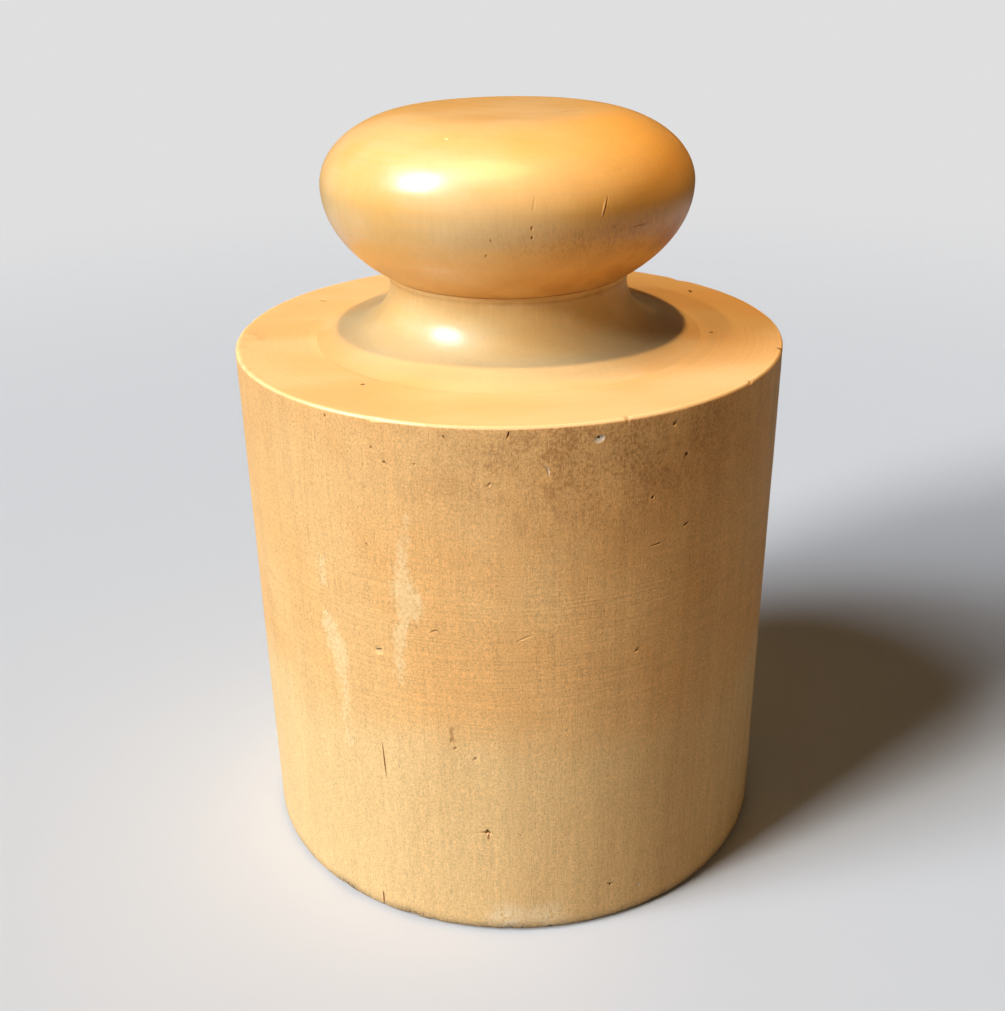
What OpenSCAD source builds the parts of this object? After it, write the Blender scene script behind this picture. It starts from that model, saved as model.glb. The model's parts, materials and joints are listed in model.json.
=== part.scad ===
// Turned wooden pork pie mold: a heavy cylindrical block that pastry is raised around,
// and a bun shaped knob on a waisted neck, which screws into the top of the block.
// Millimetres, +Z up, origin at the middle of the base.

/* [Block] */
// Diameter of the block, which is the inside size of the pie
block_d = 140; // [110:1:180]
// Height of the block at its outer edge
block_h = 139; // [100:1:180]
// Radius of the worn round on the top edge
top_edge_round = 1; // [0.4:0.1:2.5]
// Radius of the worn round on the bottom edge
base_edge_round = 2; // [0.5:0.1:4]

// Depth of the recess that the foot of the neck is let into, flush with the top
seat_depth = 4; // [2:0.1:8]

/* [Neck collar] */
// Diameter of the foot of the neck, where its cove runs out level with the top of the block
foot_d = 98; // [86:0.5:110]
// Diameter of the neck at its waist
waist_d = 60.4; // [54:0.2:68]
// Height of the cove, from the top of the block up to the waist
cove_h = 14; // [8:0.1:20]
// Height of the neck above its waist, up to the knob
neck_h = 2.5; // [1.5:0.1:8]

/* [Knob] */
// Largest diameter of the knob
knob_d = 92.2; // [80:0.2:108]
// Diameter of the knob's underside, where it meets the neck
knob_seat_d = 61; // [52:0.2:70]
// Height from the underside up to the widest part
knob_lower_h = 21.8; // [14:0.1:28]
// Height from the widest part up to the top
knob_upper_h = 17.4; // [12:0.1:24]
// Diameter of the flat on top
knob_flat_d = 40; // [20:0.5:56]

/* [Wooden screw] */
// Diameter over the crests of the thread
screw_d = 40; // [37:0.2:46]
// Rise of the handle for one turn
pitch = 7; // [6:0.1:8]
// Threaded length below the neck
thread_len = 42; // [30:0.5:60]
// Plain length below the last thread, which leads the screw into its socket
pilot_len = 3; // [2:0.1:6]
// Chamfer on both ends of the screw
end_chamfer = 1.2; // [0.5:0.1:2]
// Diameter of the plain shank through the neck and into the knob
shank_d = 30; // [24:0.2:31]
// Length of the shank that is glued into the knob
tenon_len = 26; // [16:0.5:28]

/* [Fits] */
// Gap between the foot of the neck and its recess, on the radius
seat_clearance = 0.15; // [0.1:0.05:0.4]
// Gap between the shank and the bore of the neck, on the radius
shank_clearance = 0.3; // [0.2:0.05:0.6]
// Gap between the neck and the shoulder of the screw that carries it
shoulder_clearance = 0.3; // [0.2:0.05:0.6]
// Gap between the thread and its socket, on the radius
thread_clearance = 0.4; // [0.35:0.05:0.6]
// Gap between the sides of the thread and its socket, along the screw
flank_clearance = 0.45; // [0.4:0.05:0.7]
// Glue line around the shank in the knob, on the radius
glue_line = 0.1; // [0.05:0.01:0.2]
// Free depth below the screw in its socket
socket_end_gap = 2; // [1:0.1:6]

/* [Hidden] */
$fn = 96;

// Thread form: flats on crest and root as shares of the pitch, sides at 45 degrees
crest_share = 0.14;
root_share = 0.17;
thread_depth = pitch * (1 - crest_share - root_share) / 2;
crest_half = pitch * crest_share / 2;
// How far the root of a thread sinks into its shaft, so that the two join
root_sink = pitch * 0.05;
// Steps in one turn of the thread, and the share of a turn over which its end dies out
turn_steps = 24;
fade_turns = 0.3;
faded = 0.06;

// Heights of the seats, stacked from the base up
seat_z = block_h - seat_depth;
waist_z = block_h + cove_h;
knob_z = waist_z + neck_h;
knob_wide_z = knob_z + knob_lower_h;
knob_top_z = knob_wide_z + knob_upper_h;
tenon_z = knob_z + tenon_len;
shoulder_z = seat_z - shoulder_clearance;
thread_end_z = shoulder_z - thread_len;
screw_end_z = thread_end_z - pilot_len;
socket_end_z = screw_end_z - socket_end_gap;

// Radii that follow from the diameters
block_r = block_d / 2;
foot_r = foot_d / 2;
seat_r = foot_r + seat_clearance;
waist_r = waist_d / 2;
knob_r = knob_d / 2;
knob_seat_r = knob_seat_d / 2;
knob_flat_r = knob_flat_d / 2;
shank_r = shank_d / 2;
neck_bore_r = shank_r + shank_clearance;
screw_r = screw_d / 2;
core_r = screw_r - thread_depth;
socket_r = core_r + thread_clearance;

// Steps along a worn edge, along the cove and along a quarter of the knob
edge_steps = 6;
cove_steps = 18;
knob_steps = 24;
// Extra depth of a cut past the face that it opens through
cut_through = 1;

// Points of an elliptical arc after its first point, so that stretches of an outline chain
function arc(centre, rx, ry, from, to, steps) = [
  for (i = [1:steps])
    let (a = from + (to - from) * i / steps)
    centre + [rx * cos(a), ry * sin(a)]
];

// Section of the thread at height z: root, crest, crest, root, turned to where the helix is
function thread_section(z, root_r, root_half, ring_r, ring_half) =
  let (a = 360 * z / pitch)
  [
    for (p = [[root_r, -root_half], [ring_r, -ring_half], [ring_r, ring_half], [root_r, root_half]])
      [p[0] * cos(a), p[0] * sin(a), z + p[1]]
  ];

// A right hand thread that climbs from z_low to z_high. Its low end dies out, and so does
// its high end where fade_high is 1. Both threads run on one helix, so they stay in mesh.
module helical_thread(z_low, z_high, root_r, tip_r, tip_half, fade_high) {
  turns = (z_high - z_low) / pitch;
  count = ceil(turns * turn_steps);
  root_half = tip_half + tip_r - root_r;
  rings = [
    for (i = [0:count])
      let (
        from_low = turns * i / count,
        from_high = turns - from_low,
        growth = min(1, from_low / fade_turns, fade_high == 1 ? from_high / fade_turns : 1),
        ring_r = root_r + (tip_r - root_r) * max(growth, faded)
      )
      thread_section(z_low + pitch * from_low, root_r, root_half, ring_r, tip_half)
  ];
  sides = [
    for (i = [0:count - 1], k = [0:3])
      let (a = 4 * i + k, b = 4 * i + (k + 1) % 4)
      each [[a, b + 4, a + 4], [a, b, b + 4]]
  ];
  last = 4 * count;
  low_end = [[0, 2, 1], [0, 3, 2]];
  high_end = [[last, last + 1, last + 2], [last, last + 2, last + 3]];
  polyhedron(points = [for (ring = rings) each ring], faces = concat(sides, low_end, high_end));
}

module block() {
  outline = concat(
    [[0, 0], [block_r - base_edge_round, 0]],
    arc([block_r - base_edge_round, base_edge_round], base_edge_round, base_edge_round, -90, 0, edge_steps),
    [[block_r, block_h - top_edge_round]],
    arc([block_r - top_edge_round, block_h - top_edge_round], top_edge_round, top_edge_round, 0, 90, edge_steps),
    [[seat_r, block_h], [seat_r, seat_z], [0, seat_z]]
  );
  color("#d9a866")
  difference() {
    rotate_extrude()
      polygon(outline);
    translate([0, 0, socket_end_z])
      cylinder(r = socket_r, h = seat_z - socket_end_z + cut_through);
    helical_thread(
      z_low = thread_end_z,
      z_high = seat_z + pitch / 2,
      root_r = socket_r - root_sink,
      tip_r = screw_r + thread_clearance,
      tip_half = crest_half + flank_clearance - thread_clearance,
      fade_high = 0
    );
  }
}

module neck_collar() {
  outline = concat(
    [[neck_bore_r, seat_z], [foot_r, seat_z], [foot_r, block_h]],
    arc([foot_r, waist_z], foot_r - waist_r, cove_h, -90, -180, cove_steps),
    [[knob_seat_r, knob_z], [neck_bore_r, knob_z]]
  );
  color("#d8b27a")
  rotate_extrude()
    polygon(outline);
}

module knob() {
  // The lower round is the part of an ellipse that runs from the underside to the widest part
  seat_angle = acos(knob_seat_r / knob_r);
  lower_ry = knob_lower_h / sin(seat_angle);
  outline = concat(
    [[0, knob_z], [knob_seat_r, knob_z]],
    arc([0, knob_wide_z], knob_r, lower_ry, -seat_angle, 0, knob_steps),
    arc([knob_flat_r, knob_wide_z], knob_r - knob_flat_r, knob_upper_h, 0, 90, knob_steps),
    [[0, knob_top_z]]
  );
  color("#d09447")
  difference() {
    rotate_extrude()
      polygon(outline);
    translate([0, 0, knob_z - cut_through])
      cylinder(r = shank_r + glue_line, h = tenon_len + cut_through);
  }
}

module handle_screw() {
  outline = [
    [0, screw_end_z],
    [core_r - end_chamfer, screw_end_z],
    [core_r, screw_end_z + end_chamfer],
    [core_r, shoulder_z],
    [shank_r, shoulder_z],
    [shank_r, tenon_z - end_chamfer],
    [shank_r - end_chamfer, tenon_z],
    [0, tenon_z]
  ];
  color("#dcb983")
  union() {
    rotate_extrude()
      polygon(outline);
    helical_thread(
      z_low = thread_end_z + pitch / 2,
      z_high = shoulder_z - pitch / 2,
      root_r = core_r - root_sink,
      tip_r = screw_r,
      tip_half = crest_half,
      fade_high = 1
    );
  }
}

block();
neck_collar();
knob();
handle_screw();
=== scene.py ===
import json
import math

import bmesh
import bpy
import numpy as np
from mathutils import Matrix, Vector


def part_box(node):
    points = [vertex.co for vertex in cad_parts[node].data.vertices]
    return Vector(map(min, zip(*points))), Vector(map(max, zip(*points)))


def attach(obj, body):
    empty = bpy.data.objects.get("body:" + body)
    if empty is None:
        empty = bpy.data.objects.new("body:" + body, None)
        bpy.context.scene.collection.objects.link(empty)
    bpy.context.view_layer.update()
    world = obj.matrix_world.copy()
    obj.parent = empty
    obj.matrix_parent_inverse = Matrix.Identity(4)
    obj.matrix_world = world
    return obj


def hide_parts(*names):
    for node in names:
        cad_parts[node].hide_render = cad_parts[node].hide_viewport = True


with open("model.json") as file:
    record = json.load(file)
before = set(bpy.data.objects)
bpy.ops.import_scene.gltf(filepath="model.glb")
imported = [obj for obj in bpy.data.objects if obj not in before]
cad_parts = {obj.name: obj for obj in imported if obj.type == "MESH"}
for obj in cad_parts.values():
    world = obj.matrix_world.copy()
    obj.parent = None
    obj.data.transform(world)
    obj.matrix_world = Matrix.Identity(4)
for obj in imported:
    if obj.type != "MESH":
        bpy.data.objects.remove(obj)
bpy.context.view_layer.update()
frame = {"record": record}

MM = 0.001


# Sizes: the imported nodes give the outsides, and the fits inside repeat the part's source

def top_of(node):
    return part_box(node)[1]


def foot_of(node):
    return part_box(node)[0]


block_r = top_of("block").x
block_h = top_of("block").z
top_edge_round = 0.8 * MM
base_edge_round = 2.0 * MM

seat_clearance = 0.15 * MM
foot_r = top_of("neck_collar").x
seat_r = foot_r + seat_clearance
seat_z = foot_of("neck_collar").z
waist_r = 30.2 * MM
waist_z = block_h + 14.0 * MM

knob_z = foot_of("knob").z
knob_top_z = top_of("knob").z
knob_r = top_of("knob").x
knob_seat_r = 30.5 * MM
knob_wide_z = knob_z + 21.8 * MM
knob_flat_r = 20.0 * MM

shank_r = 15.0 * MM
shank_clearance = 0.3 * MM
glue_line = 0.1 * MM
neck_bore_r = shank_r + shank_clearance
knob_bore_r = shank_r + glue_line
tenon_z = top_of("handle_screw").z

screw_end_z = foot_of("handle_screw").z
screw_r = 20.0 * MM
shoulder_clearance = 0.3 * MM
shoulder_z = seat_z - shoulder_clearance
end_chamfer = 1.2 * MM
pilot_len = 3.0 * MM
socket_end_gap = 2.0 * MM
socket_end_z = screw_end_z - socket_end_gap

# The coupling gives the rise for one radian of turn
pitch = frame["record"]["behaviour"]["couplings"][0]["ratio"] * 2 * math.pi
thread_depth_share = 0.345
thread_depth = thread_depth_share * pitch
thread_clearance = 0.4 * MM
core_r = screw_r - thread_depth
socket_r = core_r + thread_clearance
mouth_r = screw_r + 0.6 * MM
thread_low_z = screw_end_z + pilot_len


# Node trees

class Val:
    """A socket of a node tree. Arithmetic on it adds Math nodes."""

    def __init__(self, bench, socket):
        self.bench = bench
        self.socket = socket

    def math(self, operation, first, second=0.0):
        return self.bench.node("ShaderNodeMath", {"operation": operation}, {0: first, 1: second})

    def __add__(self, other):
        return self.math("ADD", self, other)

    def __radd__(self, other):
        return self.math("ADD", other, self)

    def __sub__(self, other):
        return self.math("SUBTRACT", self, other)

    def __rsub__(self, other):
        return self.math("SUBTRACT", other, self)

    def __mul__(self, other):
        return self.math("MULTIPLY", self, other)

    def __truediv__(self, other):
        return self.math("DIVIDE", self, other)

    def __rtruediv__(self, other):
        return self.math("DIVIDE", other, self)

    def __pow__(self, other):
        return self.math("POWER", self, other)

    def most(self, other):
        return self.math("MAXIMUM", self, other)

    def least(self, other):
        return self.math("MINIMUM", self, other)

    def sine(self):
        return self.math("SINE", self)

    def cosine(self):
        return self.math("COSINE", self)

    def swing(self, amount):
        """How far a noise lies from its middle, times an amount."""
        return (self - 0.5) * amount


class Bench:
    """A node tree with one method that adds any node."""

    def __init__(self, tree):
        self.tree = tree

    def node(self, kind, settings=None, inputs=None, output=0):
        made = self.tree.nodes.new(kind)
        for key, value in (settings or {}).items():
            setattr(made, key, value)
        for key, value in (inputs or {}).items():
            if isinstance(value, Val):
                self.tree.links.new(value.socket, made.inputs[key])
            else:
                made.inputs[key].default_value = value
        return Val(self, made.outputs[output]) if made.outputs else made

    def sockets(self, value):
        """All outputs, by name, of the node that a value comes from."""
        return {socket.name: Val(self, socket) for socket in value.socket.node.outputs}

    def split(self, vector):
        return self.sockets(self.node("ShaderNodeSeparateXYZ", None, {0: vector})).values()

    def join(self, x, y, z):
        return self.node("ShaderNodeCombineXYZ", None, {0: x, 1: y, 2: z})

    def shift(self, vector, offset):
        return self.node("ShaderNodeVectorMath", {"operation": "ADD"}, {0: vector, 1: offset})

    def stretch(self, vector, factors):
        return self.node("ShaderNodeVectorMath", {"operation": "MULTIPLY"}, {0: vector, 1: factors})

    def scale(self, vector, factor):
        return self.node("ShaderNodeVectorMath", {"operation": "SCALE"}, {0: vector, "Scale": factor})

    def noise(self, vector, detail=2.0, roughness=0.5):
        return self.node(
            "ShaderNodeTexNoise",
            {"noise_dimensions": "3D"},
            {"Vector": vector, "Scale": 1.0, "Detail": detail, "Roughness": roughness},
        )

    def smooth(self, value, low, high):
        return self.node(
            "ShaderNodeMapRange",
            {"interpolation_type": "SMOOTHSTEP"},
            {0: value, 1: low, 2: high, 3: 0.0, 4: 1.0},
        )

    def blend(self, factor, first, second, mode="MIX"):
        return self.node(
            "ShaderNodeMix",
            {"data_type": "RGBA", "blend_type": mode},
            {0: factor, 6: first, 7: second},
            output=2,
        )

    def shaded(self, colour, shade):
        """A colour, times a grey."""
        return self.blend(1.0, colour, self.join(shade, shade, shade), "MULTIPLY")


def empty_bench(owner):
    """The node tree of a material or a world, with nothing in it yet."""
    owner.use_nodes = True
    owner.node_tree.nodes.clear()
    return Bench(owner.node_tree)


# Turned forms: a Geometry Nodes lathe that spins the rows of a profile, with a thread where asked

# One thread: places along the pitch from its crest, and the share of the depth reached there
THREAD_FORM = (
    (-0.42, 0.0), (-0.25, 0.45), (-0.09, 0.93), (-0.05, 1.0),
    (0.05, 1.0), (0.09, 0.93), (0.25, 0.45), (0.42, 0.0),
)

# What the lathe is asked for, with the value that each has on a plain piece
PLAIN = {
    "Segments": 96, "Pitch": pitch,
    "Thread Low": 0.0, "Thread High": 1.0, "Thread Depth": 0.0,
    "Fade Low": 1.0 * MM, "Fade High": 1.0 * MM, "Mouth Radius": 0.0,
    "Wander Depth": 0.0, "Wander Size": 30.0 * MM,
    "Ripple Depth": 0.0, "Ripple Pitch": 4.0 * MM,
}

# Rows that meet within this distance are joined, which closes the turned form
WELD = 0.002 * MM


class Profile:
    """Rows of a turned outline, in the order that keeps its faces outward. wear is 1 where the
    surface is free to wander, and 0 on the seats. helix is 1 on the rows of a thread, and ridge is
    the share of its depth that they reach."""

    def __init__(self, r, z):
        self.rows = [(r, z, 0.0, 0.0, 0.0)]

    def add(self, r, z, wear, helix=0.0, ridge=0.0):
        self.rows.append((r, z, wear, helix, ridge))

    def line(self, r, z, step, wear=0.0):
        r0, z0 = self.rows[-1][:2]
        count = max(1, round(math.hypot(r - r0, z - z0) / step))
        for i in range(1, count + 1):
            t = i / count
            self.add(r0 + (r - r0) * t, z0 + (z - z0) * t, wear)

    def arc(self, r, z, rx, rz, start, end, steps, wear=0.0):
        for i in range(1, steps + 1):
            a = math.radians(start + (end - start) * i / steps)
            self.add(r + rx * math.cos(a), z + rz * math.sin(a), wear)

    def thread(self, r, low, high, rising):
        """Rows that follow the helix. They overrun both ends, where the lathe gathers them."""
        first = math.floor(low / pitch) - 2
        last = math.ceil(high / pitch) + 1
        rows = [(turn + share, ridge) for turn in range(first, last + 1) for share, ridge in THREAD_FORM]
        for turn, ridge in rows if rising else reversed(rows):
            self.add(r, turn * pitch, 0.0, 1.0, ridge)

    def radius_at(self, z):
        """Largest radius of the outline at a height, and its slope there."""
        best = None
        for (r0, z0, *_), (r1, z1, *_) in zip(self.rows, self.rows[1:]):
            if min(z0, z1) <= z <= max(z0, z1) and abs(z1 - z0) > 1e-9:
                r = r0 + (r1 - r0) * (z - z0) / (z1 - z0)
                if best is None or r > best[0]:
                    best = (r, r1 - r0, z1 - z0)
        return best


def lathe_tree():
    tree = bpy.data.node_groups.new("lathe", "GeometryNodeTree")
    face = tree.interface
    face.new_socket("Geometry", in_out="OUTPUT", socket_type="NodeSocketGeometry")
    face.new_socket("Geometry", in_out="INPUT", socket_type="NodeSocketGeometry")
    ports = {}
    for name in (*PLAIN, "Material"):
        kind = {"Segments": "Int", "Material": "Material"}.get(name, "Float")
        made = face.new_socket(name, in_out="INPUT", socket_type="NodeSocket" + kind)
        ports[name] = made.identifier
    b = Bench(tree)
    port = b.sockets(b.node("NodeGroupInput"))
    rows = b.node("GeometryNodeAttributeDomainSize", None, {0: port["Geometry"]})
    grid = b.node(
        "GeometryNodeMeshGrid",
        None,
        {"Size X": 1.0, "Size Y": 1.0, "Vertices X": port["Segments"] + 1, "Vertices Y": rows},
    )
    x, y, _ = b.split(b.node("GeometryNodeInputPosition"))
    turn = x + 0.5
    row = (y + 0.5) * (rows - 1) + 0.25

    def of_row(kind, field):
        return b.node("GeometryNodeSampleIndex", {"data_type": kind}, {0: port["Geometry"], 1: field, 2: row})

    def named(name):
        return b.node("GeometryNodeInputNamedAttribute", {"data_type": "FLOAT"}, {"Name": name})

    # Each row becomes a circle, or a turn of the helix that stops at both ends of the thread
    r, _, z = b.split(of_row("FLOAT_VECTOR", b.node("GeometryNodeInputPosition")))
    helix = of_row("FLOAT", named("helix"))
    climb = (z + port["Pitch"] * turn).most(port["Thread Low"]).least(port["Thread High"])
    height = z + (climb - z) * helix
    grown = ((height - port["Thread Low"]) / port["Fade Low"]).most(0.0).least(1.0)
    left = ((port["Thread High"] - height) / port["Fade High"]).most(0.0).least(1.0)
    ridge = of_row("FLOAT", named("ridge")) * helix * grown * left
    mouth = (port["Mouth Radius"] - port["Thread High"] + height) * helix
    radius = (r + port["Thread Depth"] * ridge).most(mouth)
    angle = turn * (2 * math.pi)
    worn = b.node(
        "GeometryNodeStoreNamedAttribute",
        {"data_type": "FLOAT", "domain": "POINT"},
        {"Geometry": grid, "Name": "wear", "Value": of_row("FLOAT", named("wear"))},
    )
    place = b.join(radius * angle.cosine(), radius * angle.sine(), height)
    spun = b.node("GeometryNodeSetPosition", None, {"Geometry": worn, "Position": place})
    closed = b.node("GeometryNodeMergeByDistance", None, {"Geometry": spun, "Distance": WELD})

    # The worn walls wander a little, and keep faint ripples from the turning tool
    at = b.node("GeometryNodeInputPosition")
    _, _, up = b.split(at)
    drift = b.noise(b.scale(at, 1 / port["Wander Size"]), detail=1.0)
    ripple = b.noise(b.join(0.0, 0.0, up / port["Ripple Pitch"]), detail=1.0)
    out = (drift.swing(port["Wander Depth"]) + ripple.swing(port["Ripple Depth"])) * named("wear")
    offset = b.scale(b.node("GeometryNodeInputNormal"), out)
    wandered = b.node("GeometryNodeSetPosition", None, {"Geometry": closed, "Offset": offset})
    smooth = b.node("GeometryNodeSetShadeSmooth", None, {"Geometry": wandered})
    real = b.node("GeometryNodeRealizeInstances", None, {"Geometry": smooth})
    painted = b.node("GeometryNodeSetMaterial", None, {"Geometry": real, "Material": port["Material"]})
    b.node("NodeGroupOutput", None, {0: painted})
    return tree, ports


LATHE, LATHE_PORTS = lathe_tree()


def turn_piece(name, profile, material, sizes):
    """Spins a profile on the lathe and returns it as a plain mesh object at the origin."""
    mesh = bpy.data.meshes.new(name + "_profile")
    rows = profile.rows
    mesh.from_pydata([(r, 0.0, z) for r, z, *_ in rows], [(i, i + 1) for i in range(len(rows) - 1)], [])
    for column, label in ((2, "wear"), (3, "helix"), (4, "ridge")):
        values = mesh.attributes.new(label, "FLOAT", "POINT")
        values.data.foreach_set("value", [row[column] for row in rows])
    piece = bpy.data.objects.new(name, mesh)
    bpy.context.scene.collection.objects.link(piece)
    lathe = piece.modifiers.new("lathe", "NODES")
    lathe.node_group = LATHE
    for label, value in {**PLAIN, "Material": material, **sizes}.items():
        lathe[LATHE_PORTS[label]] = value
    bpy.context.view_layer.update()
    graph = bpy.context.evaluated_depsgraph_get()
    spun = bpy.data.meshes.new_from_object(piece.evaluated_get(graph))
    piece.modifiers.remove(lathe)
    piece.data = spun
    spun.name = name
    bpy.data.meshes.remove(mesh)
    return piece


# Wear: marks that are cut into the mesh, with the dirt or bare wood in them kept as attributes

def facing(angle):
    """Outward direction at an angle in degrees from the front, growing to the right."""
    a = math.radians(angle)
    return Vector((math.sin(a), -math.cos(a), 0.0))


# Longest edges left in the mesh of a mark: a share of its half width, and never under a limit in mm
FINE_SHARE = 0.308
FINEST = 0.154

# How far a chip leans away from the flat of the side
CHIP_LEAN = 0.8


class Mark:
    """A small dent: a centre, its directions, its half sizes and depth, and what lies in it."""

    def __init__(self, centre, out, along, half_wide, half_long, depth, ragged=0.25, **holds):
        self.centre = np.array(centre)
        self.out = np.array(out.normalized())
        self.along = np.array(along.normalized())
        self.across = np.cross(self.along, self.out)
        self.half = np.array((half_wide, half_long)) * MM
        self.depth = depth * MM
        self.ragged = ragged
        self.holds = holds
        self.finest = max(FINEST, FINE_SHARE * min(half_wide, half_long)) * MM

    def across_along(self, places):
        """Places as seen from the mark: across it, along it and out of the surface, in metres."""
        off = places - self.centre
        return off @ self.across, off @ self.along, off @ self.out


def side_mark(profile, angle, height, half_wide, half_long, depth, tilt=0.0, **kind):
    """A mark on the turned side, tilted in degrees to the right of upright."""
    r, dr, dz = profile.radius_at(height * MM)
    flat = facing(angle)
    out = (flat * dz - Vector((0, 0, dr))) * (1 if dz > 0 else -1)
    out.normalize()
    right = facing(angle + 90)
    upright = out.cross(right) * -1
    along = Matrix.Rotation(math.radians(-tilt), 3, out) @ upright
    return Mark(flat * r + Vector((0, 0, height * MM)), out, along, half_wide, half_long, depth, **kind)


def top_mark(angle, radius, height, half_wide, half_long, depth, turn=0.0, **kind):
    """A mark on a flat top, turned in degrees away from the radius."""
    along = Matrix.Rotation(math.radians(turn), 3, "Z") @ facing(angle)
    centre = facing(angle) * radius * MM + Vector((0, 0, height))
    return Mark(centre, Vector((0, 0, 1)), along, half_wide, half_long, depth, **kind)


def edge_chip(angle, half_wide, half_long, depth, **kind):
    """A chip out of the block's top edge."""
    flat = facing(angle)
    out = flat + Vector((0, 0, CHIP_LEAN))
    along = Vector((0, 0, 1)) - flat * CHIP_LEAN
    centre = flat * (block_r - 0.3 * MM) + Vector((0, 0, block_h - 0.35 * MM))
    return Mark(centre, out, along, half_wide, half_long, depth, **kind)


def base_chip(angle, half_wide, half_long, depth, **kind):
    """A chip out of the block's bottom edge."""
    flat = facing(angle)
    out = flat - Vector((0, 0, CHIP_LEAN))
    along = Vector((0, 0, 1)) + flat * CHIP_LEAN
    centre = flat * (block_r - 0.6 * MM) + Vector((0, 0, 0.6 * MM))
    return Mark(centre, out, along, half_wide, half_long, depth, **kind)


def ease(t):
    t = np.clip(t, 0.0, 1.0)
    return t * t * (3 - 2 * t)


def vertex_places(bm):
    return np.array([v.co for v in bm.verts], float).reshape(-1, 3)


# What can lie in a mark, the distance from the surface at which a mark still takes hold, and the
# room round it in which the mesh is made finer
HELD = ("dirt", "bare", "flake")
REACH = 2.5 * MM
ROOM_SHARE = 1.35
ROOM = 0.3 * MM


def carve(piece, marks, passes=4):
    """Makes the mesh finer round each mark, then presses the mark into it."""
    bm = bmesh.new()
    bm.from_mesh(piece.data)
    for _ in range(passes):
        bm.verts.index_update()
        places = vertex_places(bm)
        wanted = np.full(len(places), np.inf)
        for mark in marks:
            across, along, out = mark.across_along(places)
            wide, long = mark.half * ROOM_SHARE + ROOM
            near = (np.abs(across) < wide) & (np.abs(along) < long) & (np.abs(out) < REACH)
            wanted[near] = np.minimum(wanted[near], mark.finest)
        edges = [
            e for e in bm.edges
            if e.calc_length() > min(wanted[e.verts[0].index], wanted[e.verts[1].index])
        ]
        if not edges:
            break
        bmesh.ops.subdivide_edges(bm, edges=edges, cuts=1, use_grid_fill=True, use_single_edge=True)
    bmesh.ops.triangulate(bm, faces=[face for face in bm.faces if len(face.verts) > 4])
    layers = {name: bm.verts.layers.float.new(name) for name in HELD}
    places = vertex_places(bm)
    rest = places.copy()
    held = {name: np.zeros(len(places)) for name in HELD}
    for number, mark in enumerate(marks):
        across, along, out = mark.across_along(rest)
        across, along = across / mark.half[0], along / mark.half[1]
        # Two waves run round each mark, so that no outline is a plain oval
        swing = np.arctan2(across, along)
        wobble = np.sin(swing * 3 + number * 1.7) + 0.7 * np.sin(swing * 5 + number * 2.9)
        far = np.sqrt(across**2 + along**2) * (1 + mark.ragged * 0.45 * wobble)
        far[np.abs(out) > REACH] = np.inf
        places -= np.outer(ease(1.25 - far) * mark.depth, mark.out)
        for name, amount in mark.holds.items():
            held[name] = np.maximum(held[name], amount * ease((1.2 - far) / 0.6))
    for i, v in enumerate(bm.verts):
        v.co = places[i]
        for name, layer in layers.items():
            v[layer] = held[name][i]
    bm.normal_update()
    bm.to_mesh(piece.data)
    bm.free()


def paint_field(piece, name, value_of):
    """Keeps a number for each vertex, worked out from angle, radius and height in degrees and mm."""
    mesh = piece.data
    places = np.zeros(len(mesh.vertices) * 3)
    mesh.vertices.foreach_get("co", places)
    places = places.reshape(-1, 3) / MM
    angle = np.degrees(np.arctan2(places[:, 0], -places[:, 1]))
    radius = np.hypot(places[:, 0], places[:, 1])
    field = mesh.attributes.new(name, "FLOAT", "POINT")
    field.data.foreach_set("value", value_of(angle, radius, places[:, 2]).astype(np.float32))


def run_down(path, radius):
    """A drip as a field. Its path is made of angle, height, half width and strength at the middle."""
    spacing = 0.8

    def value_of(angle, _, height):
        best = np.zeros_like(angle)
        for start, end in zip(path, path[1:]):
            steps = max(2, int(abs(end[1] - start[1]) / spacing))
            for t in np.linspace(0.0, 1.0, steps + 1):
                a, z, wide, strength = (1 - t) * np.array(start) + t * np.array(end)
                off = np.hypot(np.radians(angle - a) * radius, height - z)
                best = np.maximum(best, strength * (1 - off / (2 * wide)))
        return best

    return value_of


# Wood: materials in millimetres, from noise and from the attributes painted on the pieces

WOOD_IOR = 1.45


def rgb(r, g, b):
    return (r, g, b, 1.0)


BLACK_DIRT = rgb(0.040, 0.022, 0.012)
TOP_WAX = (rgb(0.76, 0.480, 0.185), rgb(0.78, 0.550, 0.250))
# Painted shade: the greyer tone that the knob's shadow gives the foot of the neck
FOOT_SHADE_TONE = (rgb(0.63, 0.440, 0.200), rgb(0.65, 0.495, 0.245))


def wood_start(name):
    material = bpy.data.materials.new(name)
    b = empty_bench(material)
    place = b.node("ShaderNodeTexCoord", None, None, output="Object")
    return material, b, b.stretch(place, (1 / MM, 1 / MM, 1 / MM))


def wood_finish(b, colour, roughness, height, relief, coat=0.0, coat_roughness=0.2):
    """Ends a material. relief is the depth of the fine grain in mm."""
    bump = b.node("ShaderNodeBump", None, {"Strength": 1.0, "Distance": relief * MM, "Height": height})
    shader = b.node("ShaderNodeBsdfPrincipled", None, {
        "Base Color": colour, "Roughness": roughness, "Normal": bump, "IOR": WOOD_IOR,
        "Coat Weight": coat, "Coat Roughness": coat_roughness,
    })
    b.node("ShaderNodeOutputMaterial", None, {0: shader})


def attribute(b, name):
    return b.node("ShaderNodeAttribute", {"attribute_name": name}, None, output=2)


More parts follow.
